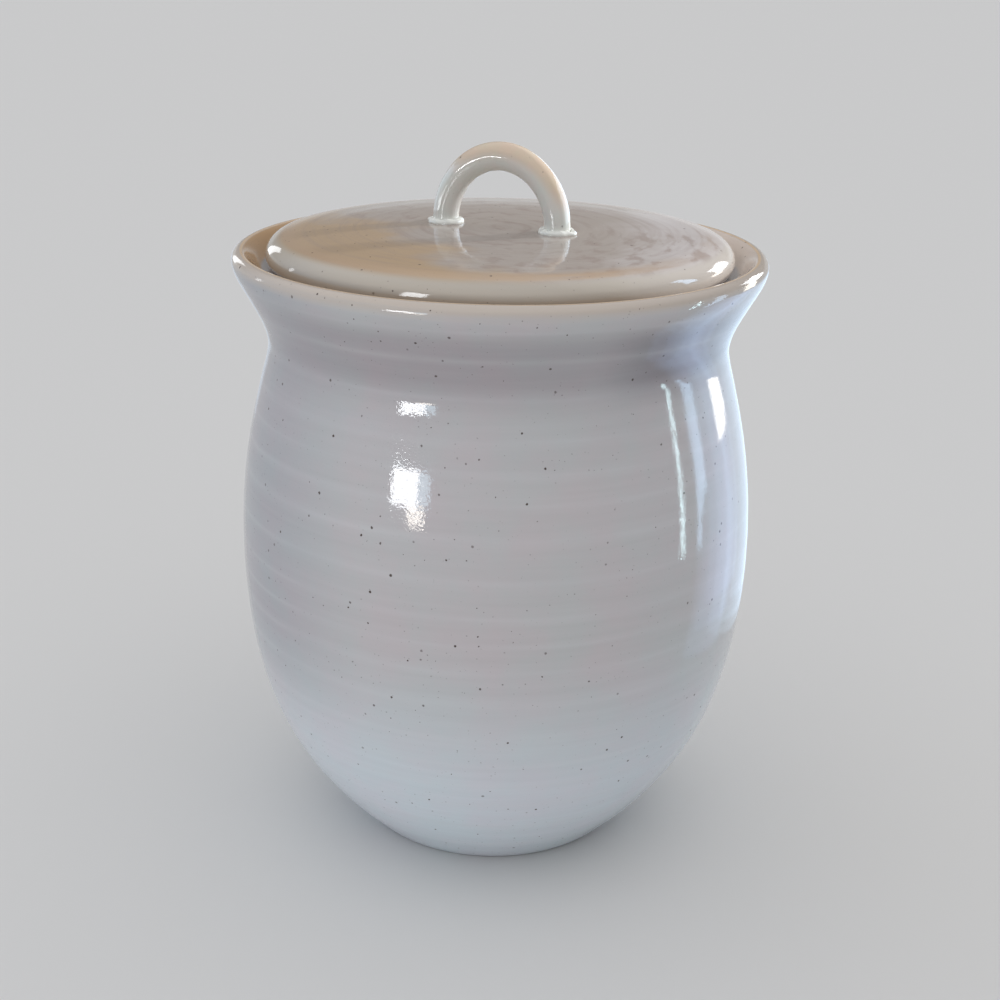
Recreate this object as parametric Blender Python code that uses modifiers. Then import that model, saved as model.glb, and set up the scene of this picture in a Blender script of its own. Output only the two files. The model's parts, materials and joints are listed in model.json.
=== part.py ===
"""A thrown stoneware cookie jar with a crowned drop-in lid and an arched handle.

The jar stands on z = 0 with its axis on Z, and the handle's arch lies in the XZ plane.
Every length is in metres. Heights are stacked from the foot upwards, and each piece
takes its place from the piece that carries it.
"""

import math

import bpy
from mathutils import Vector
from mathutils.geometry import interpolate_bezier

# Fits and clearances
REST_GAP = 0.0003
LID_PLAY = 0.0015
FLANGE_PLAY = 0.0014

# Foot
FOOT_RADIUS = 0.0491
FOOT_EDGE_ROUND = 0.0020
FOOT_FLARE = math.radians(46.2)
FOOT_RING_WIDTH = 0.0095
FOOT_RECESS = 0.0025
FLOOR_THICKNESS = 0.0080
FLOOR_CORNER = 0.0110

# Body wall, measured outside
BELLY_RADIUS = 0.0944
BELLY_HEIGHT = 0.1120
SHOULDER_LENGTH = 0.0745
NECK_RADIUS = 0.08305
FLARE_LENGTH = 0.0301
RIM_RADIUS = 0.0950
LIP_OUTER_ROUND = 0.0036
LIP_INNER_ROUND = 0.0018

# Thicknesses
BODY_WALL = 0.0055
NECK_WALL = 0.0065
RIM_WALL = 0.0075

# Gallery, the stepped seat thrown inside the rim
SEAT_DEPTH = 0.0068
GALLERY_LEAN = math.radians(42)
GALLERY_FILLET = 0.0012
LEDGE_WIDTH = 0.0086
LEDGE_THICKNESS = 0.0054
LEDGE_POCKET = 0.0045

# Lid
LID_CROWN = 0.0131
CROWN_DROP = 0.00205
CROWN_POWER = 4.8
EDGE_REACH = 0.0070
EDGE_HEIGHT = 0.0045
EDGE_TUCK = 0.0036
PANEL_THICKNESS = 0.0078
PANEL_CORNER = 0.0080
FLANGE_DEPTH = 0.0077
FLANGE_WALL = 0.0050

# Handle, a pulled rod bent into an arch
HANDLE_SPAN = 0.0438
HANDLE_RISE = 0.0246
HANDLE_STEM = 0.0010
ROD_FOOT = 0.0093
ROD_CREST = 0.0100
BEAD_REACH = 0.0014
BEAD_HEIGHT = 0.0017

# How full each curve of the outline is, as a share of the height that it spans
FOOT_FULLNESS = 0.332
BELLY_FULLNESS_BELOW = 0.521
BELLY_FULLNESS_ABOVE = 0.554
NECK_FULLNESS_BELOW = 0.103
NECK_FULLNESS_ABOVE = 0.370
RIM_FULLNESS = 0.209
FLOOR_FULLNESS = 0.47
INSIDE_FULLNESS = 0.577

# How far a rounded corner's handles reach towards the corner; this share gives a near-circle
ROUND_SHARE = 0.55

# Facets round a turned piece, and along the curves of an outline
TURN_STEPS = 56
BEAD_STEPS = 24
WALL_STEPS = 11
SHOULDER_STEPS = 7
EDGE_STEPS = 4
FILLET_STEPS = 2
HANDLE_STEPS = 24
HANDLE_BEVEL = 5

# Heights and radii that follow from the sizes above
NECK_Z = BELLY_HEIGHT + SHOULDER_LENGTH
RIM_Z = NECK_Z + FLARE_LENGTH
LIP_Z = RIM_Z + LIP_OUTER_ROUND
SEAT_Z = LIP_Z - SEAT_DEPTH
SEAT_RADIUS = RIM_RADIUS - RIM_WALL - (RIM_Z - SEAT_Z) * math.tan(GALLERY_LEAN)
MOUTH_RADIUS = SEAT_RADIUS - LEDGE_WIDTH
LID_RADIUS = SEAT_RADIUS - LID_PLAY
LID_BOTTOM_Z = SEAT_Z + REST_GAP
LID_TOP_Z = LID_BOTTOM_Z + LID_CROWN
FLANGE_RADIUS = MOUTH_RADIUS - FLANGE_PLAY
HANDLE_FOOT_Z = LID_TOP_Z + REST_GAP


def clear_scene():
    """Remove whatever the file holds, so that the jar is alone."""
    for thing in list(bpy.data.objects):
        bpy.data.objects.remove(thing, do_unlink=True)


def arc(centre, radius, start, end, steps):
    """Points (radius, height) on an arc, from the start angle to the end angle."""
    points = []
    for step in range(steps + 1):
        angle = start + (end - start) * step / steps
        points.append((centre[0] + radius * math.cos(angle), centre[1] + radius * math.sin(angle)))
    return points


def curve(start, start_handle, end_handle, end, steps):
    """Points (radius, height) on one Bezier curve between two stations of an outline."""
    corners = [Vector((point[0], point[1], 0.0)) for point in (start, start_handle, end_handle, end)]
    found = interpolate_bezier(corners[0], corners[1], corners[2], corners[3], steps + 1)
    return [(point.x, point.y) for point in found]


def rounded(start, corner, end, steps):
    """Points (radius, height) on a rounded corner, tangent to both of its sides."""
    handles = []
    for side in (start, end):
        handles.append(tuple(side[axis] + ROUND_SHARE * (corner[axis] - side[axis]) for axis in (0, 1)))
    return curve(start, handles[0], handles[1], end, steps)


def joined(*stretches):
    """One outline from stretches that share their end points."""
    outline = []
    for stretch in stretches:
        for point in stretch:
            if not outline or math.dist(point, outline[-1]) > 1e-6:
                outline.append(point)
    return outline


def body_outside():
    """The jar's outer wall, from its widest place at the rim down to the foot ring."""
    foot_normal = (math.cos(FOOT_FLARE), -math.sin(FOOT_FLARE))
    wall_start = (
        FOOT_RADIUS + FOOT_EDGE_ROUND * foot_normal[0],
        FOOT_EDGE_ROUND + FOOT_EDGE_ROUND * foot_normal[1],
    )
    belly_rise = BELLY_HEIGHT - wall_start[1]
    foot_handle = (
        wall_start[0] + FOOT_FULLNESS * belly_rise * math.sin(FOOT_FLARE),
        wall_start[1] + FOOT_FULLNESS * belly_rise * math.cos(FOOT_FLARE),
    )
    flare = curve(
        (RIM_RADIUS, RIM_Z),
        (RIM_RADIUS, RIM_Z - RIM_FULLNESS * FLARE_LENGTH),
        (NECK_RADIUS, NECK_Z + NECK_FULLNESS_ABOVE * FLARE_LENGTH),
        (NECK_RADIUS, NECK_Z),
        SHOULDER_STEPS,
    )
    shoulder = curve(
        (NECK_RADIUS, NECK_Z),
        (NECK_RADIUS, NECK_Z - NECK_FULLNESS_BELOW * SHOULDER_LENGTH),
        (BELLY_RADIUS, BELLY_HEIGHT + BELLY_FULLNESS_ABOVE * SHOULDER_LENGTH),
        (BELLY_RADIUS, BELLY_HEIGHT),
        SHOULDER_STEPS,
    )
    lower_wall = curve(
        (BELLY_RADIUS, BELLY_HEIGHT),
        (BELLY_RADIUS, BELLY_HEIGHT - BELLY_FULLNESS_BELOW * belly_rise),
        foot_handle,
        wall_start,
        WALL_STEPS,
    )
    edge_centre = (FOOT_RADIUS, FOOT_EDGE_ROUND)
    foot_edge = arc(edge_centre, FOOT_EDGE_ROUND, -FOOT_FLARE, -math.pi / 2, FILLET_STEPS)
    return joined(flare, shoulder, lower_wall, foot_edge)


def body_underside():
    """The turned foot: a flat ring to stand on, round a shallow recess."""
    ring_inner = FOOT_RADIUS - FOOT_RING_WIDTH
    step_top = (ring_inner - FOOT_RECESS, FOOT_RECESS)
    recess_edge = rounded((ring_inner, 0.0), (ring_inner, FOOT_RECESS), step_top, FILLET_STEPS)
    return joined(recess_edge, [(0.0, FOOT_RECESS)])


def body_inside():
    """The hollow, from the middle of the floor up to the under edge of the ledge."""
    floor_radius = FOOT_RADIUS - FLOOR_CORNER
    belly_inner = BELLY_RADIUS - BODY_WALL
    neck_inner = NECK_RADIUS - NECK_WALL
    rise = BELLY_HEIGHT - FLOOR_THICKNESS
    nose_round = LEDGE_THICKNESS / 2
    ledge_under = (MOUTH_RADIUS + nose_round, SEAT_Z - LEDGE_THICKNESS)
    bowl = curve(
        (floor_radius, FLOOR_THICKNESS),
        (floor_radius + FLOOR_FULLNESS * (belly_inner - floor_radius), FLOOR_THICKNESS),
        (belly_inner, BELLY_HEIGHT - INSIDE_FULLNESS * rise),
        (belly_inner, BELLY_HEIGHT),
        WALL_STEPS,
    )
    shoulder = curve(
        (belly_inner, BELLY_HEIGHT),
        (belly_inner, BELLY_HEIGHT + BELLY_FULLNESS_ABOVE * SHOULDER_LENGTH),
        (neck_inner, NECK_Z - NECK_FULLNESS_BELOW * SHOULDER_LENGTH),
        (neck_inner, NECK_Z),
        SHOULDER_STEPS,
    )
    pocket = curve(
        (neck_inner, NECK_Z),
        (neck_inner, NECK_Z + NECK_FULLNESS_ABOVE * FLARE_LENGTH),
        (ledge_under[0] + LEDGE_POCKET, ledge_under[1]),
        ledge_under,
        EDGE_STEPS,
    )
    return joined([(0.0, FLOOR_THICKNESS)], bowl, shoulder, pocket)


def body_gallery():
    """The ledge that the lid rests on, the leaning wall above it and the rounded lip."""
    nose_round = LEDGE_THICKNESS / 2
    nose_centre = (MOUTH_RADIUS + nose_round, SEAT_Z - nose_round)
    nose = arc(nose_centre, nose_round, 1.5 * math.pi, 0.5 * math.pi, EDGE_STEPS)
    lean = (math.sin(GALLERY_LEAN), math.cos(GALLERY_LEAN))
    corner = (SEAT_RADIUS, SEAT_Z)
    fillet_start = (corner[0] - GALLERY_FILLET, corner[1])
    fillet_end = (corner[0] + GALLERY_FILLET * lean[0], corner[1] + GALLERY_FILLET * lean[1])
    fillet = rounded(fillet_start, corner, fillet_end, FILLET_STEPS)
    crest_radius = RIM_RADIUS - LIP_OUTER_ROUND
    lip_corner = (corner[0] + SEAT_DEPTH * math.tan(GALLERY_LEAN), LIP_Z)
    wall_top = (lip_corner[0] - LIP_INNER_ROUND * math.tan(GALLERY_LEAN), LIP_Z - LIP_INNER_ROUND)
    inner_lip = rounded(wall_top, lip_corner, (crest_radius, LIP_Z), FILLET_STEPS)
    outer_lip = arc((crest_radius, RIM_Z), LIP_OUTER_ROUND, math.pi / 2, 0.0, EDGE_STEPS)
    return joined(nose, fillet, inner_lip, outer_lip)


def crown_height(radius):
    """Height of the lid's top face: nearly flat in the middle, falling towards the edge."""
    share = radius / (LID_RADIUS - EDGE_REACH)
    return LID_TOP_Z - CROWN_DROP * share ** CROWN_POWER


def lid_top():
    """The crowned top face and the rolled edge, out to the lid's widest place and under it."""
    edge_start = LID_RADIUS - EDGE_REACH
    rings = [edge_start * step / SHOULDER_STEPS for step in range(SHOULDER_STEPS + 1)]
    face = [(ring, crown_height(ring)) for ring in rings]
    slope = CROWN_POWER * CROWN_DROP / edge_start
    widest = (LID_RADIUS, LID_BOTTOM_Z + EDGE_HEIGHT)
    bearing_edge = (LID_RADIUS - EDGE_TUCK, LID_BOTTOM_Z)
    edge_over = rounded(face[-1], (LID_RADIUS, face[-1][1] - EDGE_REACH * slope), widest, EDGE_STEPS)
    edge_under = rounded(widest, (LID_RADIUS, LID_BOTTOM_Z), bearing_edge, EDGE_STEPS)
    return joined(face, edge_over, edge_under)


def lid_underside():
    """The bearing face, the locating flange and the thinned panel inside it."""
    flange_round = FLANGE_WALL / 2
    flange_centre = (FLANGE_RADIUS - flange_round, LID_BOTTOM_Z - FLANGE_DEPTH + flange_round)
    flange_inner = FLANGE_RADIUS - FLANGE_WALL
    panel_z = LID_TOP_Z - PANEL_THICKNESS
    flange_end = arc(flange_centre, flange_round, 0.0, -math.pi, EDGE_STEPS)
    panel_corner = rounded(
        (flange_inner, panel_z - PANEL_CORNER),
        (flange_inner, panel_z),
        (flange_inner - PANEL_CORNER, panel_z),
        EDGE_STEPS,
    )
    return joined([(FLANGE_RADIUS, LID_BOTTOM_Z)], flange_end, panel_corner, [(0.0, panel_z)])


def bead_outline():
    """A low rounded ring of clay, closed on itself, pressed round the foot of the handle."""
    inner = ROD_FOOT / 2 + REST_GAP
    outer = inner + BEAD_REACH
    shoulder = rounded((inner, BEAD_HEIGHT), (outer, BEAD_HEIGHT), (outer, 0.0), EDGE_STEPS)
    return joined(shoulder, [(inner, 0.0), (inner, BEAD_HEIGHT)])


def finish(name, colour, roughness):
    """One glaze as a Principled BSDF."""
    material = bpy.data.materials.new(name)
    material.use_nodes = True
    shader = material.node_tree.nodes["Principled BSDF"]
    shader.inputs["Base Color"].default_value = (colour[0], colour[1], colour[2], 1.0)
    shader.inputs["Roughness"].default_value = roughness
    shader.inputs["Metallic"].default_value = 0.0
    return material


def place(piece, collection, material):
    """Put a finished piece in the jar's collection with its glaze."""
    piece.data.materials.append(material)
    collection.objects.link(piece)
    return piece


def turned(name, outline, steps, collection, material, location=(0.0, 0.0, 0.0)):
    """A turned piece: an outline, run down its outer side, swept once round Z."""
    mesh = bpy.data.meshes.new(name)
    corners = [(radius, 0.0, height) for radius, height in outline]
    if math.dist(outline[0], outline[-1]) < 1e-7:
        corners.pop()
        edges = [(index, (index + 1) % len(corners)) for index in range(len(corners))]
    else:
        edges = [(index, index + 1) for index in range(len(corners) - 1)]
    mesh.from_pydata(corners, edges, [])
    piece = bpy.data.objects.new(name, mesh)
    piece.location = location
    sweep = piece.modifiers.new("Turn", "SCREW")
    sweep.axis = "Z"
    sweep.steps = steps
    sweep.render_steps = steps
    sweep.use_merge_vertices = True
    sweep.merge_threshold = 0.00001
    sweep.use_smooth_shade = True
    return place(piece, collection, material)


def arched_rod(name, collection, material, location):
    """The handle: a rod on a half ellipse, a little thicker at its crest than at its feet."""
    path = bpy.data.curves.new(name, "CURVE")
    path.dimensions = "3D"
    path.bevel_depth = ROD_CREST / 2
    path.bevel_resolution = HANDLE_BEVEL
    path.use_fill_caps = True
    spline = path.splines.new("POLY")
    spline.points.add(HANDLE_STEPS + 2)
    taper = ROD_FOOT / ROD_CREST
    arch_rise = HANDLE_RISE - HANDLE_STEM
    for step in range(HANDLE_STEPS + 1):
        angle = math.pi * (1 - step / HANDLE_STEPS)
        share = math.sin(angle)
        point = spline.points[step + 1]
        point.co = (HANDLE_SPAN / 2 * math.cos(angle), 0.0, HANDLE_STEM + arch_rise * share, 1.0)
        point.radius = taper + (1 - taper) * share
    for point, sign in ((spline.points[0], -1), (spline.points[-1], 1)):
        point.co = (sign * HANDLE_SPAN / 2, 0.0, 0.0, 1.0)
        point.radius = taper
    spline.use_smooth = True
    piece = bpy.data.objects.new(name, path)
    piece.location = location
    return place(piece, collection, material)


def build():
    """Make the jar, its lid, the handle and the two clay beads at the handle's feet."""
    clear_scene()
    collection = bpy.data.collections.new("cookie_jar")
    bpy.context.scene.collection.children.link(collection)

    body_glaze = finish("body_glaze", (0.46, 0.48, 0.52), 0.12)
    lid_glaze = finish("lid_glaze", (0.42, 0.37, 0.33), 0.12)
    handle_glaze = finish("handle_glaze", (0.55, 0.54, 0.51), 0.12)

    body = joined(body_inside(), body_gallery(), body_outside(), body_underside())
    turned("jar_body", body, TURN_STEPS, collection, body_glaze)

    lid_axis = bpy.data.objects.new("lid_axis", None)
    lid_axis.location = (0.0, 0.0, SEAT_Z)
    collection.objects.link(lid_axis)

    lid = [(radius, height - SEAT_Z) for radius, height in joined(lid_top(), lid_underside())]
    on_lid = HANDLE_FOOT_Z - SEAT_Z
    pieces = [
        turned("lid", lid, TURN_STEPS, collection, lid_glaze),
        arched_rod("lid_handle", collection, handle_glaze, (0.0, 0.0, on_lid)),
    ]
    for side, sign in (("left", -1), ("right", 1)):
        foot = (sign * HANDLE_SPAN / 2, 0.0, on_lid)
        bead = turned(f"handle_bead_{side}", bead_outline(), BEAD_STEPS, collection, handle_glaze, foot)
        pieces.append(bead)
    for piece in pieces:
        piece.parent = lid_axis

    print(f"lip at {LIP_Z:.4f} m, seat at {SEAT_Z:.4f} m, lid radius {LID_RADIUS:.4f} m")
    print(f"crown at {LID_TOP_Z:.4f} m, handle crest at {HANDLE_FOOT_Z + HANDLE_RISE + ROD_CREST / 2:.4f} m")


build()
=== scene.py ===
# %% [markdown]
# # A speckled stoneware cookie jar
#
# A potter threw this jar and its lid on a wheel, pulled a rod of clay for the handle, dipped
# everything in a glossy pale glaze and fired it. This notebook gives the bare solids of the
# jar that look: turned walls with soft throwing rings, a mirror-bright glaze that runs thin
# and tan on every edge, iron specks, a pulled handle and the beads of clay at its feet.
#
# The solids come first, because every piece takes its place and size from them.

# %% Load the solids
import json
import math

import bpy
import numpy as np
from mathutils import Matrix, Vector, noise

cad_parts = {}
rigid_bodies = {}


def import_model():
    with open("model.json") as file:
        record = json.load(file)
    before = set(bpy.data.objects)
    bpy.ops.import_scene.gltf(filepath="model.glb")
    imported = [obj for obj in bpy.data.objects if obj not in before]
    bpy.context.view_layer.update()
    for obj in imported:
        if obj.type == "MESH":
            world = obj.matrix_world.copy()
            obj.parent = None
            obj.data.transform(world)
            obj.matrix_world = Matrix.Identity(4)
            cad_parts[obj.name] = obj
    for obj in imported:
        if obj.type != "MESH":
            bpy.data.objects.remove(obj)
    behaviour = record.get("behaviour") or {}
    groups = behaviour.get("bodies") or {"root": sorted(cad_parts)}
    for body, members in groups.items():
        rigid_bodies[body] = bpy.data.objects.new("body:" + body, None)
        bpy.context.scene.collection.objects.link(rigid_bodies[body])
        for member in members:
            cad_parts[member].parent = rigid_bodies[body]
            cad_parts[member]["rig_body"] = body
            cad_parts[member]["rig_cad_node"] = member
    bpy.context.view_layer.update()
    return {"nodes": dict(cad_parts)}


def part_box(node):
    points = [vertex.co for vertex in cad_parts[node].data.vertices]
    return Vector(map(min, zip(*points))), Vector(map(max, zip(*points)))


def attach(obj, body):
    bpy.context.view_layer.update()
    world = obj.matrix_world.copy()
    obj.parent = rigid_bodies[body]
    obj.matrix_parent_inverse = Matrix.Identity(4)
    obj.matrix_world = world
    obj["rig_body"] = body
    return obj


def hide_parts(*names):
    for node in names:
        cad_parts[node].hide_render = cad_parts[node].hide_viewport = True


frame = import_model()
JAR_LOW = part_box("jar_body")[0]
LID_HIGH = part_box("lid")[1]
HANDLE_LOW, HANDLE_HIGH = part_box("lid_handle")

# %% [markdown]
# ## The camera
#
# The photograph looks down on the jar by about twenty degrees, from close by, with the
# handle's right foot turned towards the lens. The camera is described the way a photographer
# would set it up: a bearing round the jar, a downward tilt, a distance to the jar's axis and
# the height on the axis that it aims at. The roll is the small lean of a hand-held picture.

# %% Set up the camera
CAMERA_BEARING = math.radians(25.5)
CAMERA_TILT = math.radians(20.05)
CAMERA_ROLL = math.radians(1.05)
CAMERA_DISTANCE = 0.6030
CAMERA_AIM_HEIGHT = 0.1238
CAMERA_SIDESTEP = 0.0015
CAMERA_LENS_MM = 57.6
CAMERA_NEAREST = 0.01

TOWARDS_CAMERA = Vector((math.sin(CAMERA_BEARING), -math.cos(CAMERA_BEARING), 0.0))
CAMERA_RIGHT = Vector((math.cos(CAMERA_BEARING), math.sin(CAMERA_BEARING), 0.0))
UP = Vector((0.0, 0.0, 1.0))


def set_up_camera():
    """A still camera on the photograph's line of sight."""
    lens = bpy.data.cameras.new("camera")
    lens.lens = CAMERA_LENS_MM
    lens.clip_start = CAMERA_NEAREST
    camera = bpy.data.objects.new("camera", lens)
    bpy.context.scene.collection.objects.link(camera)
    sight = -TOWARDS_CAMERA * math.cos(CAMERA_TILT) - UP * math.sin(CAMERA_TILT)
    aim = CAMERA_RIGHT * CAMERA_SIDESTEP + UP * CAMERA_AIM_HEIGHT
    level = sight.to_track_quat("-Z", "Y").to_matrix().to_4x4()
    roll = Matrix.Rotation(CAMERA_ROLL, 4, "Z")
    camera.matrix_world = Matrix.Translation(aim - sight * CAMERA_DISTANCE) @ level @ roll
    bpy.context.scene.camera = camera
    return camera


camera = set_up_camera()
print("camera stands at", camera.matrix_world.translation)

# %% [markdown]
# ## Turned pieces: cut the outline out of the solid, smooth it and spin it
#
# On the wheel a pot is an outline swept round an axis, so it is built the same way here. The
# outline could be drawn again by hand, but the solid already holds it, and a copied outline
# can't drift away from the solid. A copy of the solid is welded and sliced by a plane through
# the axis with Bisect, which keeps only the cut line. The line becomes a Bezier curve with
# automatic handles, which rounds its facets, and the Spin operator sweeps it round.

# %% Select one piece, and copy a solid
WELD = 0.00001


def pick(piece):
    """Select one piece and nothing else, as a click would."""
    bpy.ops.object.select_all(action="DESELECT")
    piece.select_set(True)
    bpy.context.view_layer.objects.active = piece
    return piece


def welded_copy(node, name):
    """A free copy of a solid, its loose triangles welded into one skin."""
    pick(frame["nodes"][node])
    bpy.ops.object.duplicate()
    piece = bpy.context.active_object
    piece.name = piece.data.name = name
    piece.parent = None
    piece.data.materials.clear()
    # The copy is a new piece, so it loses the marks that name it as a solid.
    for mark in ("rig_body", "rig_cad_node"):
        del piece[mark]
    bpy.ops.object.mode_set(mode="EDIT")
    bpy.ops.mesh.select_all(action="SELECT")
    bpy.ops.mesh.remove_doubles(threshold=WELD)
    bpy.ops.object.mode_set(mode="OBJECT")
    return piece


# %% Cut out the half outline and round its facets
SHARP_CORNER = math.radians(60)
CURVE_STEPS = 6
STATION_GAP = 0.0007


def half_outline(node, name):
    """The line where a half plane through the axis cuts the solid, as a wire of vertices."""
    piece = welded_copy(node, name)
    bpy.ops.object.mode_set(mode="EDIT")
    bpy.ops.mesh.select_all(action="SELECT")
    bpy.ops.mesh.bisect(plane_co=(0, 0, 0), plane_no=(0, 1, 0), clear_inner=True, clear_outer=True)
    bpy.ops.mesh.select_all(action="SELECT")
    bpy.ops.mesh.bisect(plane_co=(0, 0, 0), plane_no=(1, 0, 0), clear_inner=True)
    bpy.ops.mesh.select_all(action="SELECT")
    bpy.ops.mesh.remove_doubles(threshold=WELD)
    bpy.ops.object.mode_set(mode="OBJECT")
    return piece


def smooth_outline(piece):
    """Round the wire: automatic handles along it, straight ones only at its true corners."""
    pick(piece)
    bpy.ops.object.convert(target="CURVE")
    bpy.ops.object.mode_set(mode="EDIT")
    bpy.ops.curve.select_all(action="SELECT")
    bpy.ops.curve.spline_type_set(type="BEZIER")
    bpy.ops.curve.handle_type_set(type="AUTOMATIC")
    bpy.ops.object.mode_set(mode="OBJECT")
    points = list(piece.data.splines[0].bezier_points)
    for before, here, after in zip(points, points[1:], points[2:]):
        if (here.co - before.co).angle(after.co - here.co) > SHARP_CORNER:
            here.handle_left_type = here.handle_right_type = "VECTOR"
    piece.data.resolution_u = CURVE_STEPS
    bpy.ops.object.convert(target="MESH")
    bpy.ops.object.mode_set(mode="EDIT")
    bpy.ops.mesh.select_all(action="SELECT")
    bpy.ops.mesh.remove_doubles(threshold=STATION_GAP)
    bpy.ops.object.mode_set(mode="OBJECT")
    print(piece.name, "outline:", len(points), "points rounded to", len(piece.data.vertices))
    return piece


# %% Spin an outline on the wheel
WHEEL_STEPS = 240


def spin(piece, steps, centre=(0, 0, 0), turn=math.tau, axis=(0, 0, 1)):
    """Sweep everything in the piece round an axis and weld where the sweep meets itself."""
    pick(piece)
    bpy.ops.object.mode_set(mode="EDIT")
    bpy.ops.mesh.select_all(action="SELECT")
    bpy.ops.mesh.spin(steps=steps, angle=turn, center=centre, axis=axis)
    bpy.ops.mesh.select_all(action="SELECT")
    bpy.ops.mesh.remove_doubles(threshold=WELD)
    bpy.ops.mesh.normals_make_consistent(inside=False)
    bpy.ops.object.mode_set(mode="OBJECT")
    bpy.ops.object.shade_smooth()
    print(piece.name, "has", len(piece.data.polygons), "faces")
    return piece


jar = spin(smooth_outline(half_outline("jar_body", "thrown_jar")), WHEEL_STEPS)
lid = spin(smooth_outline(half_outline("lid", "thrown_lid")), WHEEL_STEPS)

# %% [markdown]
# ## The potter's hand: throwing rings and a wall that is never quite round
#
# Fingers that rise while the wheel turns leave shallow grooves with soft ridges between them,
# which read as level rings about a centimetre apart. The rings could be a bump in the glaze
# alone, but real relief also bends the reflections along the outline, so the vertices
# themselves are moved: in or out along their own normals, by less than the thickness of a
# fingernail. A slow, broad noise on top of it takes away the machined look.

# %% Move the vertices of a turned piece
RING_PITCH = 0.0115
RING_START = 0.0380
RING_DRIFT = 0.16
RING_DRIFT_LENGTH = 0.055
RING_DRIFT_START = 0.05125
RING_RELIEF = 0.00004
WOBBLE = 0.00012
WOBBLE_SCALE = 16.0
SIDEWAYS = 0.5
INWARD_LEAN = 0.5
LID_SHARE = 0.5
FLAT_MARGIN = 0.0006


def ring_phase(run):
    """How many rings lie below a point; run is its way along the outline."""
    drift = RING_DRIFT * np.sin(math.tau * (run - RING_DRIFT_START) / RING_DRIFT_LENGTH)
    return (run - RING_START) / RING_PITCH + drift


def vertex_table(piece, what):
    """The vertices' places or normals as an array with one row each."""
    values = np.zeros(len(piece.data.vertices) * 3)
    piece.data.vertices.foreach_get(what, values)
    return values.reshape(-1, 3)


def work_by_hand(piece, relief, wobble, keep_still):
    """Give a turned piece its rings and its unevenness, except where it must stay true."""
    places = vertex_table(piece, "co")
    normals = vertex_table(piece, "normal")
    radius = np.hypot(places[:, 0], places[:, 1])
    steep = np.hypot(normals[:, 0], normals[:, 1])
    run = np.where(steep > SIDEWAYS, places[:, 2], radius)
    ridge = 0.5 + 0.5 * np.cos(math.tau * ring_phase(run))
    uneven = np.array([noise.noise(Vector(place) * WOBBLE_SCALE) for place in places])
    # Both parts of the push lean inwards, so that the piece stays inside its solid's box.
    push = (relief * (ridge - 1.0) + wobble * (uneven - INWARD_LEAN)) * (1.0 - keep_still)
    places += normals * push[:, None]
    places[:, 2] = np.maximum(places[:, 2], 0.0)
    piece.data.vertices.foreach_set("co", places.ravel())
    piece.data.update()
    print(piece.name, "moved by up to %.3f mm" % (1000 * np.abs(push).max()))


def near_floor(piece):
    """One where a vertex is part of what the piece stands on, zero elsewhere."""
    heights = vertex_table(piece, "co")[:, 2]
    return (heights < JAR_LOW.z + FLAT_MARGIN).astype(float)


work_by_hand(jar, RING_RELIEF, WOBBLE, near_floor(jar))
lid_free = np.zeros(len(lid.data.vertices))
work_by_hand(lid, RING_RELIEF * LID_SHARE, WOBBLE * LID_SHARE, lid_free)

# %% [markdown]
# ## The handle: a pulled rod, spun into an arch
#
# The handle is a rod of clay bent over by hand. A curve with a round bevel would do, but a
# circle spun half a turn about an axis that lies between the feet is the same shape in one
# step, and stretching it upwards afterwards makes the crest a little thicker than the legs,
# as a pulled handle is. The open ends are then extruded down into the lid, where the beads of
# clay hide the join.

# %% Spin and stretch the handle
FOOT_SPACING = 0.0438
ROD_RADIUS = 0.00465
HANDLE_SPRING = 0.0010
HANDLE_ROOT = 0.0012
ROD_SIDES = 40
ARCH_STEPS = 72


def spin_handle():
    """The arch, from a circle at the left foot over to the right foot."""
    spring_z = HANDLE_LOW.z + HANDLE_SPRING
    reach = FOOT_SPACING / 2
    bpy.ops.mesh.primitive_circle_add(
        vertices=ROD_SIDES, radius=ROD_RADIUS, location=(-reach, 0.0, spring_z)
    )
    piece = bpy.context.active_object
    piece.name = piece.data.name = "pulled_handle"
    bpy.ops.object.transform_apply(location=True)
    spin(piece, ARCH_STEPS, centre=(0.0, 0.0, spring_z), turn=math.pi, axis=(0, -1, 0))
    stretch = (HANDLE_HIGH.z - spring_z) / (reach + ROD_RADIUS)
    bpy.ops.object.mode_set(mode="EDIT")
    bpy.ops.mesh.select_all(action="SELECT")
    bpy.ops.transform.resize(value=(1.0, 1.0, stretch), center_override=(0.0, 0.0, spring_z))
    bpy.ops.mesh.select_all(action="DESELECT")
    bpy.ops.mesh.select_non_manifold(extend=False)
    bpy.ops.mesh.extrude_region_move(
        TRANSFORM_OT_translate={"value": (0.0, 0.0, -HANDLE_SPRING - HANDLE_ROOT)}
    )
    bpy.ops.mesh.edge_face_add()
    bpy.ops.object.mode_set(mode="OBJECT")
    return piece


handle = spin_handle()
print("handle reaches", max(v.co.z for v in handle.data.vertices), "of", HANDLE_HIGH.z)

# %% [markdown]
# ## The beads: clay smeared round the handle's feet
#
# Each foot is stuck to the lid with slip, and the potter ran a thin roll of soft clay round
# the joint. It starts as a torus, half sunk in the lid. Its vertices are then pulled about so
# that the roll swells, thins and ends in a small point on the outer side of the foot.

# %% Roll the beads
BEAD_SIDES = 18
BEAD_STEPS = 96
BEAD_THICKNESS = 0.00125
BEAD_RING = ROD_RADIUS + 0.45 * BEAD_THICKNESS
BEAD_LIFT = 0.25 * BEAD_THICKNESS
BEAD_LUMPS = 0.35
BEAD_LUMP_SCALE = 420.0
BEAD_LUMP_SHIFT = 0.01
BEAD_INNER_SWELL = 0.25
BEAD_INNER_FALLOFF = 6
BEAD_POINT_THINNING = 0.35
BEAD_POINT_FALLOFF = 24
BEAD_CLIMB = 0.5
BEAD_TIP = 0.0010


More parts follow.
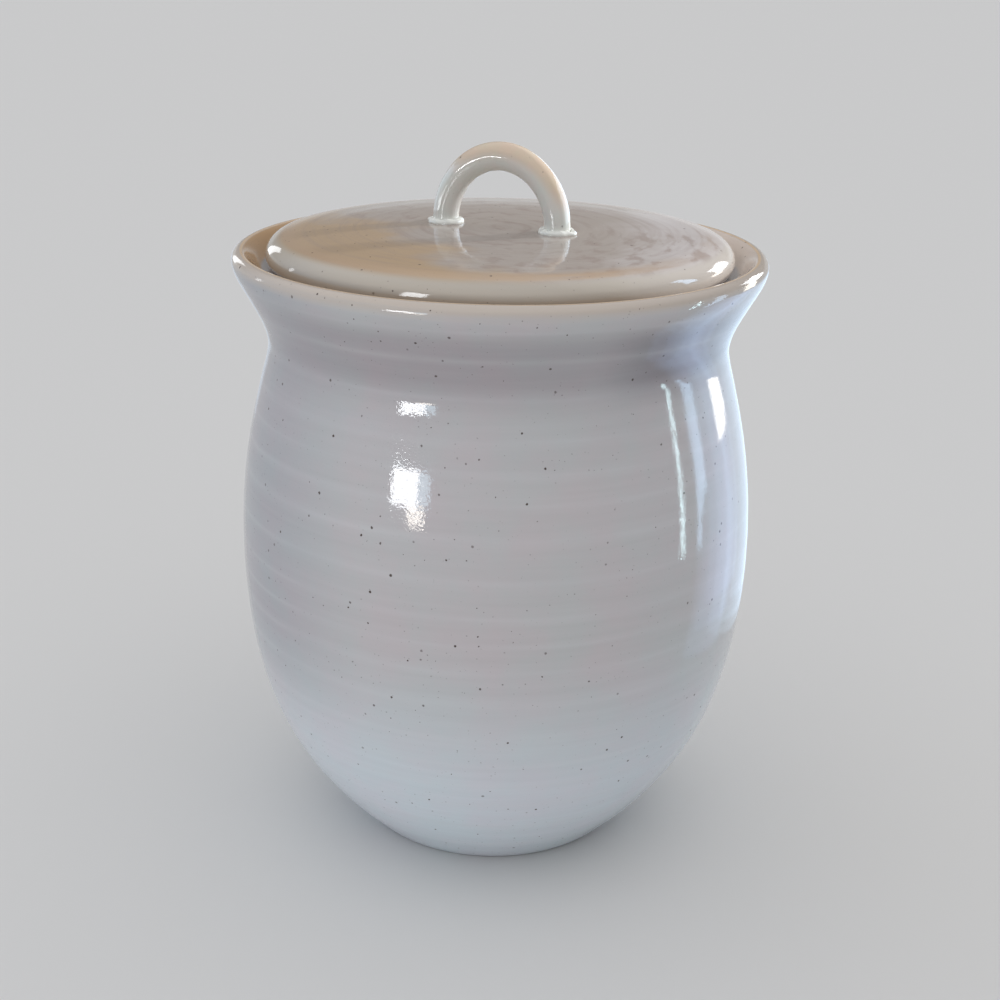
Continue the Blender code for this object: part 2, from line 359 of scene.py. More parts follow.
def roll_bead(side, sign):
    """One roll of clay round one foot; sign is -1 for the left foot and 1 for the right."""
    centre = Vector((sign * FOOT_SPACING / 2, 0.0, LID_HIGH.z + BEAD_LIFT))
    bpy.ops.mesh.primitive_torus_add(
        major_segments=BEAD_STEPS,
        minor_segments=BEAD_SIDES,
        major_radius=BEAD_RING,
        minor_radius=BEAD_THICKNESS,
        location=centre,
    )
    piece = bpy.context.active_object
    piece.name = piece.data.name = f"clay_bead_{side}"
    bpy.ops.object.transform_apply(location=True)
    for vertex in piece.data.vertices:
        arm = vertex.co - centre
        away = Vector((arm.x, arm.y, 0.0)).normalized()
        ring = away * BEAD_RING
        point = max(0.0, sign * away.x) ** BEAD_POINT_FALLOFF
        inner = max(0.0, -sign * away.x) ** BEAD_INNER_FALLOFF
        lump = noise.noise(Vector((ring.x, ring.y, sign * BEAD_LUMP_SHIFT)) * BEAD_LUMP_SCALE)
        section = arm - ring
        section *= 1.0 + BEAD_LUMPS * lump + BEAD_INNER_SWELL * inner
        climb = max(0.0, -section.dot(away) / BEAD_THICKNESS)
        section.z *= (1.0 - BEAD_POINT_THINNING * point) * (1.0 + BEAD_CLIMB * climb)
        vertex.co = centre + ring + section + away * BEAD_TIP * point
    bpy.ops.object.shade_smooth()
    return piece


beads = [roll_bead(side, sign) for side, sign in (("left", -1), ("right", 1))]
print("beads:", [bead.name for bead in beads])

# %% [markdown]
# ## Node helpers
#
# Materials are node trees. They could be wired by hand in the editor, but a script can be read
# and run again, and a few helpers keep it readable: one adds a node, one feeds a socket, and
# others do a sum, a blend, a fade or a distance. Colours are written as the 0 to 255 numbers
# that a colour picker shows, and turned into Blender's linear values here.

# %% Helpers for node trees
def tint(red, green, blue):
    """A linear colour from the numbers of a colour picker."""
    channels = []
    for value in (red, green, blue):
        share = value / 255
        channels.append(share / 12.92 if share <= 0.04045 else ((share + 0.055) / 1.055) ** 2.4)
    return (*channels, 1.0)


def add(tree, kind, **settings):
    """A new node with its settings."""
    made = tree.nodes.new(kind)
    for name, value in settings.items():
        setattr(made, name, value)
    return made


def feed(tree, socket, value):
    """Give an input a number, a colour or another node's output."""
    if isinstance(value, bpy.types.NodeSocket):
        tree.links.new(value, socket)
    else:
        socket.default_value = value


def calc(tree, operation, first, second=0.0, third=0.0, clamp=False):
    """One Math node, as its output."""
    made = add(tree, "ShaderNodeMath", operation=operation, use_clamp=clamp)
    for socket, value in zip(made.inputs, (first, second, third)):
        feed(tree, socket, value)
    return made.outputs[0]


def blend_colours(tree, share, first, second, mode="MIX"):
    """Two colours mixed by a mask."""
    made = add(tree, "ShaderNodeMix", data_type="RGBA", blend_type=mode)
    feed(tree, made.inputs["Factor"], share)
    feed(tree, made.inputs[6], first)
    feed(tree, made.inputs[7], second)
    return made.outputs[2]


def fade(tree, value, start, end):
    """Zero at start, one at end, smooth between."""
    made = add(tree, "ShaderNodeMapRange", interpolation_type="SMOOTHSTEP")
    feed(tree, made.inputs["Value"], value)
    feed(tree, made.inputs["From Min"], start)
    feed(tree, made.inputs["From Max"], end)
    return made.outputs["Result"]


def distance(tree, first, second):
    """How far a point lies from the origin, from its two numbers."""
    squares = [calc(tree, "MULTIPLY", number, number) for number in (first, second)]
    return calc(tree, "SQRT", calc(tree, "ADD", *squares))


def towards(tree, x, y, direction, more=0.0):
    """How far a place lies in a level direction, plus a little more."""
    share = calc(tree, "MULTIPLY_ADD", y, direction[1], more)
    return calc(tree, "MULTIPLY_ADD", x, direction[0], share)


def split_place(tree, place):
    """The three numbers of a place."""
    numbers = add(tree, "ShaderNodeSeparateXYZ")
    feed(tree, numbers.inputs[0], place)
    return numbers.outputs


def add_noise(tree, place, scale, detail=2.0, roughness=0.5):
    """A Noise texture on a place."""
    made = add(tree, "ShaderNodeTexNoise")
    settings = {"Vector": place, "Scale": scale, "Detail": detail, "Roughness": roughness}
    for name, value in settings.items():
        feed(tree, made.inputs[name], value)
    return made


# %% Helpers for node groups
def new_group(name, inputs, output_names):
    """An empty node group with named sockets; inputs maps a name to its kind and value."""
    group = bpy.data.node_groups.new(name, "ShaderNodeTree")
    for label, (kind, value) in inputs.items():
        socket = group.interface.new_socket(label, in_out="INPUT", socket_type=kind)
        if value is not None:
            socket.default_value = value
    for label in output_names:
        group.interface.new_socket(label, in_out="OUTPUT", socket_type="NodeSocketFloat")
    return group, add(group, "NodeGroupInput"), add(group, "NodeGroupOutput")


def use_group(tree, group, **values):
    """A group placed in a material, with its own values."""
    made = add(tree, "ShaderNodeGroup", node_tree=group)
    for name, value in values.items():
        feed(tree, made.inputs[name], value)
    return made


# %% [markdown]
# ## Shared effects of a reduction glaze
#
# Five effects make a fired glaze out of a flat colour. The skin and the specks are on every
# piece, and the others where the real ones show:
#
# - iron specks, which bleed up from the clay as small ragged dark dots,
# - wheel marks, fine streaks that follow the turning wheel,
# - throwing rings, the same ridges that moved the vertices, where the glaze is thinner,
# - mottling, clouds of lilac and grey-green where the glaze is a little thicker or thinner,
# - glaze skin, the faint dimples, grain and haze of a fired glossy surface.
#
# Each could be copied into every material instead, but then a change would have to be made
# several times. A group keeps one recipe, and each glaze gives it its own numbers.

# %% Iron specks
SPECK_FRAY_SCALE = 1500.0
SPECK_FRAY = 0.0005
SPECK_LEAST_SIZE = 0.35
SPECK_GROWTH = 0.75
SPECK_LUCK_POWER = 3.0
SPECK_CORE = 0.55
SPECK_LEAST_DEPTH = 0.5


def make_specks():
    """Ragged dots of random size: a Voronoi cell's middle, grown by the cell's own luck."""
    group, given, result = new_group(
        "Iron specks",
        {
            "Vector": ("NodeSocketVector", None),
            "Cells": ("NodeSocketFloat", 180.0),
            "Size": ("NodeSocketFloat", 0.08),
            "Share": ("NodeSocketFloat", 0.8),
        },
        ["Mask"],
    )
    wave = add_noise(group, given.outputs["Vector"], SPECK_FRAY_SCALE)
    centred = add(group, "ShaderNodeVectorMath", operation="SUBTRACT")
    feed(group, centred.inputs[0], wave.outputs["Color"])
    feed(group, centred.inputs[1], (0.5, 0.5, 0.5))
    ragged = add(group, "ShaderNodeVectorMath", operation="MULTIPLY_ADD")
    feed(group, ragged.inputs[0], centred.outputs[0])
    feed(group, ragged.inputs[1], (SPECK_FRAY, SPECK_FRAY, SPECK_FRAY))
    feed(group, ragged.inputs[2], given.outputs["Vector"])
    cells = add(group, "ShaderNodeTexVoronoi")
    feed(group, cells.inputs["Vector"], ragged.outputs[0])
    feed(group, cells.inputs["Scale"], given.outputs["Cells"])
    luck = add(group, "ShaderNodeSeparateColor")
    feed(group, luck.inputs[0], cells.outputs["Color"])
    growth = calc(group, "POWER", luck.outputs[0], SPECK_LUCK_POWER)
    growth = calc(group, "MULTIPLY_ADD", growth, SPECK_GROWTH, SPECK_LEAST_SIZE)
    reach = calc(group, "MULTIPLY", given.outputs["Size"], growth)
    core = calc(group, "MULTIPLY", reach, SPECK_CORE)
    spot = fade(group, cells.outputs["Distance"], reach, core)
    kept = calc(group, "LESS_THAN", luck.outputs[1], given.outputs["Share"])
    depth = 1.0 - SPECK_LEAST_DEPTH
    depth = calc(group, "MULTIPLY_ADD", luck.outputs[2], depth, SPECK_LEAST_DEPTH)
    mask = calc(group, "MULTIPLY", calc(group, "MULTIPLY", spot, kept), depth)
    feed(group, result.inputs["Mask"], mask)
    return group


SPECKS = make_specks()
print("group:", SPECKS.name)

# %% Wheel marks
def make_wheel_marks():
    """Noise drawn out along the turning of the wheel, from the radius and the height."""
    group, given, result = new_group(
        "Wheel marks",
        {
            "Vector": ("NodeSocketVector", None),
            "Fineness": ("NodeSocketFloat", 300.0),
            "Drift": ("NodeSocketFloat", 12.0),
        },
        ["Value"],
    )
    x, y, z = split_place(group, given.outputs["Vector"])
    across = calc(group, "MULTIPLY", distance(group, x, y), given.outputs["Fineness"])
    up = calc(group, "MULTIPLY", z, given.outputs["Fineness"])
    along = calc(group, "MULTIPLY", calc(group, "ADD", x, y), given.outputs["Drift"])
    place = add(group, "ShaderNodeCombineXYZ")
    for socket, value in zip(place.inputs, (across, up, along)):
        feed(group, socket, value)
    streaks = add_noise(group, place.outputs[0], 1.0, detail=3.0)
    feed(group, result.inputs["Value"], streaks.outputs["Fac"])
    return group


WHEEL_MARKS = make_wheel_marks()
print("group:", WHEEL_MARKS.name)

# %% Throwing rings
RING_WAVER_SCALE = 22.0
RING_SWELL_POWER = 3.0
RING_LINE_POWER = 24.0
RING_LINE_PATCHES = (0.3, 0.6)


def make_rings():
    """The crests of the potter's spiral, as a soft swell and as thin broken lines."""
    group, given, result = new_group(
        "Throwing rings",
        {
            "Vector": ("NodeSocketVector", None),
            "Run": ("NodeSocketFloat", 0.0),
            "Waver": ("NodeSocketFloat", 0.0012),
        },
        ["Swell", "Line"],
    )
    slow = add_noise(group, given.outputs["Vector"], RING_WAVER_SCALE)
    waver = calc(group, "SUBTRACT", slow.outputs["Fac"], 0.5)
    run = calc(group, "MULTIPLY_ADD", waver, given.outputs["Waver"], given.outputs["Run"])
    since = calc(group, "SUBTRACT", run, RING_DRIFT_START)
    drift = calc(group, "SINE", calc(group, "MULTIPLY", since, math.tau / RING_DRIFT_LENGTH))
    count = calc(group, "DIVIDE", calc(group, "SUBTRACT", run, RING_START), RING_PITCH)
    phase = calc(group, "MULTIPLY_ADD", drift, RING_DRIFT, count)
    wave = calc(group, "COSINE", calc(group, "MULTIPLY", phase, math.tau))
    ridge = calc(group, "MULTIPLY_ADD", wave, 0.5, 0.5)
    feed(group, result.inputs["Swell"], calc(group, "POWER", ridge, RING_SWELL_POWER))
    patchy = fade(group, slow.outputs["Fac"], *RING_LINE_PATCHES)
    line = calc(group, "POWER", ridge, RING_LINE_POWER)
    feed(group, result.inputs["Line"], calc(group, "MULTIPLY", line, patchy))
    return group


RINGS = make_rings()
print("group:", RINGS.name)

# %% Glaze mottle
CLOUD_RANGE = (0.30, 0.70)


def make_mottle():
    """Slow clouds of two faint tints, as colour multipliers close to white."""
    group, given, result = new_group(
        "Glaze mottle",
        {
            "Vector": ("NodeSocketVector", None),
            "Clouds": ("NodeSocketFloat", 38.0),
            "First": ("NodeSocketColor", tint(255, 255, 255)),
            "Second": ("NodeSocketColor", tint(255, 255, 255)),
        },
        [],
    )
    group.interface.new_socket("Color", in_out="OUTPUT", socket_type="NodeSocketColor")
    place, scale = given.outputs["Vector"], given.outputs["Clouds"]
    clouds = add_noise(group, place, scale, detail=5.0, roughness=0.6)
    share = fade(group, clouds.outputs["Fac"], *CLOUD_RANGE)
    mixed = blend_colours(group, share, given.outputs["First"], given.outputs["Second"])
    feed(group, result.inputs["Color"], mixed)
    return group


MOTTLE = make_mottle()
print("group:", MOTTLE.name)

# %% Glaze skin
HAZE_SCALE = 40.0


def make_skin():
    """Broad dimples under a fine grain that frays reflections, as a height, and slow haze."""
    group, given, result = new_group(
        "Glaze skin",
        {
            "Vector": ("NodeSocketVector", None),
            "Dimples": ("NodeSocketFloat", 230.0),
            "Grain": ("NodeSocketFloat", 1000.0),
            "Grain Share": ("NodeSocketFloat", 2.5),
        },
        ["Height", "Haze"],
    )
    place = given.outputs["Vector"]
    dimples, grain = [
        add_noise(group, place, given.outputs[size]).outputs["Fac"] for size in ("Dimples", "Grain")
    ]
    height = calc(group, "MULTIPLY_ADD", grain, given.outputs["Grain Share"], dimples)
    feed(group, result.inputs["Height"], height)
    haze = add_noise(group, place, HAZE_SCALE, detail=4.0)
    feed(group, result.inputs["Haze"], haze.outputs["Fac"])
    return group


SKIN = make_skin()
print("group:", SKIN.name)

# %% [markdown]
# ## The glazes
#
# Every glaze is made by the same three helpers: one starts an empty material with its place on
# the piece, one strews the iron specks, and one wires the shader. What differs from piece to
# piece is the base colour, which each glaze works out from where the surface lies on the pot.
#
# A painted picture could carry the colours too, but it needs the pot unwrapped and turns to
# blocks close up. Patterns on Object coordinates need neither, and they stay with a piece
# when it moves.

# %% Common parts of every glaze
IRON = tint(62, 46, 38)
BIG_SPECKS = {"Cells": 270.0, "Size": 0.165}
SMALL_SPECKS = {"Cells": 640.0, "Size": 0.190}
SMALL_SPECK_DEPTH = 0.5
GLAZE_ROUGHNESS = 0.045
HAZE_SPREAD = 0.04
GLAZE_IOR = 1.52
SKIN_RELIEF = 0.0000105
SMOOTHER_SKIN = SKIN_RELIEF / 2


def start_material(name):
    """An empty material, its place on the piece, and that place's three numbers."""
    material = bpy.data.materials.new(name)
    material.use_nodes = True
    tree = material.node_tree
    place = add(tree, "ShaderNodeTexCoord").outputs["Object"]
    return material, tree, place, split_place(tree, place)


def speckle(tree, place, colour, big_share, small_share):
    """Large dark specks and a haze of small faint ones over a colour."""
    big = use_group(tree, SPECKS, Vector=place, Share=big_share, **BIG_SPECKS)
    small = use_group(tree, SPECKS, Vector=place, Share=small_share, **SMALL_SPECKS)
    faint = calc(tree, "MULTIPLY", small.outputs["Mask"], SMALL_SPECK_DEPTH)
    colour = blend_colours(tree, faint, colour, IRON)
    return blend_colours(tree, big.outputs["Mask"], colour, IRON)


def fire(tree, place, colour, skin_relief, ridges=None, ridge_relief=0.0):
    """Wire colour, haze, dimples and any wheel ridges into the shader: what the kiln does."""
    shader = tree.nodes["Principled BSDF"]
    feed(tree, shader.inputs["Base Color"], colour)
    skin = use_group(tree, SKIN, Vector=place)
    clearest = GLAZE_ROUGHNESS - HAZE_SPREAD / 2
    haze = calc(tree, "MULTIPLY_ADD", skin.outputs["Haze"], HAZE_SPREAD, clearest)
    feed(tree, shader.inputs["Roughness"], haze)
    bump = add(tree, "ShaderNodeBump")
    bump.inputs["Distance"].default_value = skin_relief
    feed(tree, bump.inputs["Height"], skin.outputs["Height"])
    if ridges is not None:
        wheel = add(tree, "ShaderNodeBump")
        wheel.inputs["Distance"].default_value = ridge_relief
        feed(tree, wheel.inputs["Height"], ridges)
        feed(tree, bump.inputs["Normal"], wheel.outputs["Normal"])
    feed(tree, shader.inputs["Normal"], bump.outputs["Normal"])
    shader.inputs["IOR"].default_value = GLAZE_IOR


def dress(pieces, material):
    """Give a finished glaze to its pieces."""
    for piece in pieces:
        piece.data.materials.append(material)
    names = ", ".join(piece.name for piece in pieces)
    print(material.name, "with", len(material.node_tree.nodes), "nodes, on", names)


# %% [markdown]
# ### The jar's glaze
#
# The glaze is grey, and thin enough over the lip for the tan clay to show through. Painted
# light is mixed into its colour: a pale blue-grey painted reflection on the lower belly,
# painted shade in the neck under the flared rim, deeper on the neck's right, and a cooler,
# darker painted shade on the left of the belly. Inside the rim it is brown and marked by the
# wheel, with a paler painted reflection on the right of the gallery.
#
# All of these change slowly, so they are fades by height and by side, from a few numbers each.
# Height can't tell the inner side of the flared rim from the outer one, so every vertex also
# stores how far its surface looks back at the axis, and the brown follows that.

# %% Store the jar's inner side
AXIS_MARGIN = 0.001


def mark_inner_side(piece):
    """Store on each vertex how far the surface looks back at the axis: the pot's inner side."""
    places = vertex_table(piece, "co")
    normals = vertex_table(piece, "normal")
    radius = np.maximum(np.hypot(places[:, 0], places[:, 1]), AXIS_MARGIN)
    inner = -(normals[:, 0] * places[:, 0] + normals[:, 1] * places[:, 1]) / radius
    mark = piece.data.attributes.new("inner_side", "FLOAT", "POINT")
    mark.data.foreach_set("value", inner)
    print(piece.name, "inner side from", inner.min(), "to", inner.max())


mark_inner_side(jar)

# %% Colour the jar by height and side
# Painted reflection: the lower belly's pale blue-grey stands in for the bright surroundings that
# the glaze mirrors.
BELLY_PAINTED_REFLECTION = tint(212, 219, 227)
BELLY_MIDDLE = tint(189, 186, 188)
# Painted shade: the neck is darkened under the flared rim, and more on its right side.
NECK_PAINTED_SHADE = tint(168, 163, 167)
NECK_DEEPER_SHADE = tint(136, 131, 137)
# Painted shade: the belly's left side is made cooler and darker.
BODY_LEFT_SHADE = tint(150, 153, 162)
RIGHT_SIDE = (0.90, 0.43)
BELLY_RISE = (0.03, 0.11)
NECK_BOTTOM = (0.178, 0.194)
NECK_TOP = (0.216, 0.204)
NECK_SHADE_SIDE = (0.028, 0.056)
LEFT_SHADE_SIDE = (-0.040, -0.085)
LEFT_SHADE_BOTTOM = (0.05, 0.10)
LEFT_SHADE_SHARE = 0.55


def outer_colour(tree, z, right):
    """Painted reflection low down, grey above, and painted shade in the neck and on the belly's
    left.
    """
    belly = blend_colours(tree, fade(tree, z, *BELLY_RISE), BELLY_PAINTED_REFLECTION, BELLY_MIDDLE)
    neck = calc(tree, "MULTIPLY", fade(tree, z, *NECK_BOTTOM), fade(tree, z, *NECK_TOP))
    # Painted shade in the neck, deeper towards the right.
    neck_shade_colour = blend_colours(tree, fade(tree, right, *NECK_SHADE_SIDE), NECK_PAINTED_SHADE, NECK_DEEPER_SHADE)
    colour = blend_colours(tree, neck, belly, neck_shade_colour)
    # Painted shade over the left of the belly, above its lowest part.
    left_shade = calc(tree, "MULTIPLY", fade(tree, right, *LEFT_SHADE_SIDE), fade(tree, z, *LEFT_SHADE_BOTTOM))
    return blend_colours(tree, calc(tree, "MULTIPLY", left_shade, LEFT_SHADE_SHARE), colour, BODY_LEFT_SHADE)


# %% Add the wheel's rings, clouds and marks
RING_LIGHT = tint(215, 216, 220)
RING_LINE_SHARE = 0.08
RING_SWELL_SHARE = 0.07
BODY_LILAC = tint(255, 249, 249)
BODY_GREEN = tint(249, 253, 251)
BODY_MARK_SPREAD = 0.10


def turned_colour(tree, place, z, marks, colour):
    """Paler where rings leave the glaze thin, clouded, and uneven along the wheel's marks."""
    rings = use_group(tree, RINGS, Vector=place, Run=z)
    thin = calc(tree, "MULTIPLY", rings.outputs["Line"], RING_LINE_SHARE)
    thin = calc(tree, "MULTIPLY_ADD", rings.outputs["Swell"], RING_SWELL_SHARE, thin)
    colour = blend_colours(tree, thin, colour, RING_LIGHT)
    mottle = use_group(tree, MOTTLE, Vector=place, First=BODY_LILAC, Second=BODY_GREEN)
    colour = blend_colours(tree, 1.0, colour, mottle.outputs["Color"], "MULTIPLY")
    darkest = 1.0 - BODY_MARK_SPREAD / 2
    uneven = calc(tree, "MULTIPLY_ADD", marks, BODY_MARK_SPREAD, darkest)
    grey = add(tree, "ShaderNodeCombineColor")
    for socket in grey.inputs[:3]:
        feed(tree, socket, uneven)
    return blend_colours(tree, 1.0, colour, grey.outputs[0], "MULTIPLY")


# %% Thin the glaze over the lip, and brown it in the gallery
LIP = tint(191, 179, 168)
LIP_LINE = tint(216, 188, 156)
GALLERY = tint(186, 152, 114)
# Painted reflection: the gallery is paler towards its right side.
GALLERY_PAINTED_REFLECTION = tint(212, 198, 187)
LIP_RISE = (0.2160, 0.2205)
LIP_RAGGED = 0.003
GALLERY_BOTTOM = (0.206, 0.208)
GALLERY_INWARD = (0.25, 0.60)
GALLERY_REFLECTION_SIDE = (0.02, 0.09)
LIP_LINE_RISE = (0.2185, 0.2195)
LIP_LINE_OUTER = (-0.10, 0.10)
LIP_LINE_INNER = (0.45, 0.25)


def rim_colour(tree, z, right, marks, colour):
    """Tan over the lip, brown on the gallery with a paler painted reflection on its right, and a
    warm line between the two.
    """
    ragged = calc(tree, "MULTIPLY_ADD", marks, LIP_RAGGED, z)
    colour = blend_colours(tree, fade(tree, ragged, *LIP_RISE), colour, LIP)
    inward = add(tree, "ShaderNodeAttribute", attribute_name="inner_side").outputs["Fac"]
    brown = fade(tree, inward, *GALLERY_INWARD)
    brown = calc(tree, "MULTIPLY", brown, fade(tree, z, *GALLERY_BOTTOM))
    # Painted reflection, paler towards the right.
    gallery = blend_colours(tree, fade(tree, right, *GALLERY_REFLECTION_SIDE), GALLERY, GALLERY_PAINTED_REFLECTION)
    colour = blend_colours(tree, brown, colour, gallery)
    line = fade(tree, inward, *LIP_LINE_OUTER)
    line = calc(tree, "MULTIPLY", line, fade(tree, inward, *LIP_LINE_INNER))
    line = calc(tree, "MULTIPLY", line, fade(tree, z, *LIP_LINE_RISE))
    return blend_colours(tree, line, colour, LIP_LINE)


# %% Glaze the jar
JAR_MARKS = {"Fineness": 420.0, "Drift": 14.0}
BODY_RIDGES = 0.00001


def jar_glaze():
    """The colour by height outside, the brown gallery inside the rim, and the specks."""
    material, tree, place, (x, y, z) = start_material("jar_glaze")
    right = towards(tree, x, y, RIGHT_SIDE)
    marks = use_group(tree, WHEEL_MARKS, Vector=place, **JAR_MARKS).outputs["Value"]
    colour = outer_colour(tree, z, right)
    colour = turned_colour(tree, place, z, marks, colour)
    colour = rim_colour(tree, z, right, marks, colour)
    colour = speckle(tree, place, colour, big_share=0.85, small_share=0.75)
    fire(tree, place, colour, SKIN_RELIEF, marks, BODY_RIDGES)
    return material


dress([jar], jar_glaze())

# %% [markdown]
# ### The lid's glaze
#
# The lid was glazed thinner than the jar. Its top is tan at the front left and greyer behind
# and in the middle, a grey that is partly the glaze's own and partly a painted reflection of
# the room behind. It is streaked by the wheel and smudged by a brush, and a painted sheen makes
# it pale at the right. An orange-brown band runs where the face rolls over into a pale
# grey-green edge, which the painted sheen also lightens at the right.
#
# Plain noise would give clouds and no streaks, so the wheel marks draw it out along the
# turning: finely for the streaks and coarsely for the brush. The radius places the band.

# %% Colour the lid's top
LID_TAN = tint(176, 150, 118)
# The grey behind is partly the glaze's own tone and partly a painted reflection of the room behind.
LID_GREY = tint(168, 158, 150)
# Painted sheen: the lid's top and edge are made paler towards the right.
LID_PAINTED_SHEEN = tint(199, 192, 191)
LID_SMUDGE = tint(146, 128, 120)
STREAK_RANGE = (0.42, 0.70)
STREAK_SHARE = 0.24
BRUSH_RANGE = (0.50, 0.68)
BRUSH_SHARE = 0.6


def lid_top_colour(tree, grey_behind, painted_sheen, marks, brush):
    """Tan and grey glaze, the grey partly a painted reflection, and a pale painted sheen, under the
    wheel's streaks and the brush's smudges.
    """
    colour = blend_colours(tree, grey_behind, LID_TAN, LID_GREY)
    colour = blend_colours(tree, painted_sheen, colour, LID_PAINTED_SHEEN)
    streak = calc(tree, "MULTIPLY", fade(tree, marks, *STREAK_RANGE), STREAK_SHARE)
    colour = blend_colours(tree, streak, colour, LID_SMUDGE)
    smudge = calc(tree, "MULTIPLY", fade(tree, brush, *BRUSH_RANGE), grey_behind)
    return blend_colours(tree, calc(tree, "MULTIPLY", smudge, BRUSH_SHARE), colour, LID_SMUDGE)


# %% Colour the lid's band and edge
LID_BAND = tint(184, 157, 129)
LID_EDGE = tint(181, 172, 160)
BAND_INSIDE = (0.068, 0.075)
BAND_OUTSIDE = (0.0790, 0.0765)
BAND_PATCHES = (0.8, 0.3)
BAND_LOST_IN_SHEEN = 0.8
EDGE_START = (0.0765, 0.0805)
EDGE_SHEEN_SHARE = 0.3


def lid_edge_colour(tree, radius, painted_sheen, marks, colour):
    """The patchy band where the face rolls over, and the edge outside it, both paled on the right
    by the painted sheen.
    """
    inside, outside = fade(tree, radius, *BAND_INSIDE), fade(tree, radius, *BAND_OUTSIDE)
    patchy = calc(tree, "MULTIPLY_ADD", marks, *BAND_PATCHES, clamp=True)
    band = calc(tree, "MULTIPLY", calc(tree, "MULTIPLY", inside, outside), patchy)
    kept = calc(tree, "MULTIPLY_ADD", painted_sheen, -BAND_LOST_IN_SHEEN, 1.0)
    colour = blend_colours(tree, calc(tree, "MULTIPLY", band, kept), colour, LID_BAND)
    edge = blend_colours(tree, calc(tree, "MULTIPLY", painted_sheen, EDGE_SHEEN_SHARE), LID_EDGE, LID_PAINTED_SHEEN)
    return blend_colours(tree, fade(tree, radius, *EDGE_START), colour, edge)


# %% Glaze the lid
LID_CLOUD_SCALE = 30.0
LID_RAGGED = (0.080, -0.040)
LID_BACK = (0.539, 0.844)
LID_GREY_BEHIND_SIDE = (-0.050, -0.020)
LID_SHEEN_SIDE = (0.030, 0.075)
LID_MARKS = {"Fineness": 420.0, "Drift": 60.0}
LID_BRUSH = {"Fineness": 150.0, "Drift": 90.0}
LID_RIDGES = 0.00003


def lid_glaze():
    """The colour by side and radius on top, mixed by the wheel's streaks, and the specks."""
    material, tree, place, (x, y, _) = start_material("lid_glaze")
    cloud = add_noise(tree, place, LID_CLOUD_SCALE, detail=3.0)
    ragged = calc(tree, "MULTIPLY_ADD", cloud.outputs["Fac"], *LID_RAGGED)
    # Grey behind, partly a painted reflection.
    grey_behind = fade(tree, towards(tree, x, y, LID_BACK, ragged), *LID_GREY_BEHIND_SIDE)
    # Painted sheen, pale towards the right.
    painted_sheen = fade(tree, towards(tree, x, y, RIGHT_SIDE, ragged), *LID_SHEEN_SIDE)
    marks = use_group(tree, WHEEL_MARKS, Vector=place, **LID_MARKS).outputs["Value"]
    brush = use_group(tree, WHEEL_MARKS, Vector=place, **LID_BRUSH).outputs["Value"]
    colour = lid_top_colour(tree, grey_behind, painted_sheen, marks, brush)
    colour = lid_edge_colour(tree, distance(tree, x, y), painted_sheen, marks, colour)
    colour = speckle(tree, place, colour, big_share=0.7, small_share=0.5)
    fire(tree, place, colour, SMOOTHER_SKIN, marks, LID_RIDGES)
    return material


dress([lid], lid_glaze())

# %% [markdown]
# ### The handle's glaze
#
# The same grey glaze is creamy on the legs, warm beige along the outer side of the crest,
# where it ran off, and nearly white where it pooled round the feet. Height alone can't tell
# the arch's outer side from its inner one, so the distance from the arch's middle does.

# %% Mix the handle's glaze
HANDLE_CREAM = tint(222, 222, 216)
HANDLE_WARM = tint(220, 201, 178)
HANDLE_POOL = tint(236, 236, 229)
HANDLE_CLOUDS = 110.0
ARCH_MIDDLE_Z = HANDLE_LOW.z + HANDLE_SPRING
ARCH_OUTWARD = (FOOT_SPACING / 2, FOOT_SPACING / 2 + ROD_RADIUS)
WARM_TILT = 0.25
WARM_RISE = (HANDLE_HIGH.z - 0.018, HANDLE_HIGH.z - 0.008)
POOL_FALL = (HANDLE_LOW.z + 0.0035, HANDLE_LOW.z + 0.0008)


def handle_glaze():
    """Cream on the legs, warm along the outer side of the crest, white where it pooled."""
    material, tree, place, (x, _, z) = start_material("handle_glaze")
    rise = calc(tree, "SUBTRACT", z, ARCH_MIDDLE_Z)
    outer = fade(tree, distance(tree, x, rise), *ARCH_OUTWARD)
    high = fade(tree, calc(tree, "MULTIPLY_ADD", x, WARM_TILT, z), *WARM_RISE)
    colour = blend_colours(tree, calc(tree, "MULTIPLY", outer, high), HANDLE_CREAM, HANDLE_WARM)
    tints = {"First": BODY_LILAC, "Second": BODY_GREEN}
    mottle = use_group(tree, MOTTLE, Vector=place, Clouds=HANDLE_CLOUDS, **tints)
    colour = blend_colours(tree, 1.0, colour, mottle.outputs["Color"], "MULTIPLY")
    colour = blend_colours(tree, fade(tree, z, *POOL_FALL), colour, HANDLE_POOL)
    colour = speckle(tree, place, colour, big_share=0.35, small_share=0.3)
    fire(tree, place, colour, SMOOTHER_SKIN)
    return material


dress([handle, *beads], handle_glaze())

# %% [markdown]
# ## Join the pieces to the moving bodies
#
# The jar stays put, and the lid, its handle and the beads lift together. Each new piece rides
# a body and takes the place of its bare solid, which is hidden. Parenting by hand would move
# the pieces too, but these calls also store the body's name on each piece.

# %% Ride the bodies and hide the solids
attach(jar, "jar")
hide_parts("jar_body")
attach(lid, "lid_assembly")
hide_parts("lid")
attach(handle, "lid_assembly")
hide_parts("lid_handle")
for bead, side in zip(beads, ("left", "right")):
    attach(bead, "lid_assembly")
    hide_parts(f"handle_bead_{side}")
print("joined:", ", ".join(piece.name for piece in (jar, lid, handle, *beads)))

